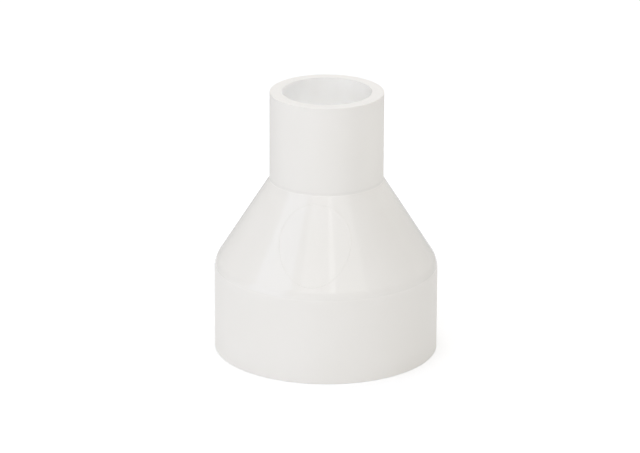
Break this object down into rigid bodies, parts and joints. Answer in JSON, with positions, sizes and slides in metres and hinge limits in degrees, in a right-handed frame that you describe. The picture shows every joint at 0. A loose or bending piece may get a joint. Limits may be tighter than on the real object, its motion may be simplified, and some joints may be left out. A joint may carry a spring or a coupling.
{
  "type": "concentric pipe reducer",
  "caption": "White plastic butt-fusion pipe reducer: a wide straight spigot, a rounded shoulder, a straight cone and a narrow straight spigot on one axis.",
  "frame": {"origin": "centre of the large spigot's end face", "axes": "+Z along the common axis, from the large end to the small end; turned about it the part is the same all round"},
  "size_m": [0.063, 0.063, 0.0753],
  "materials": {
    "satin_plastic": "satin milky white moulding, slightly translucent, with planed end faces",
    "glossy_plastic": "polished milky white moulding, slightly translucent"
  },
  "bodies": {
    "root": {"large_spigot": "satin_plastic", "cone": "glossy_plastic", "small_spigot": "satin_plastic"}
  },
  "joints": []
}
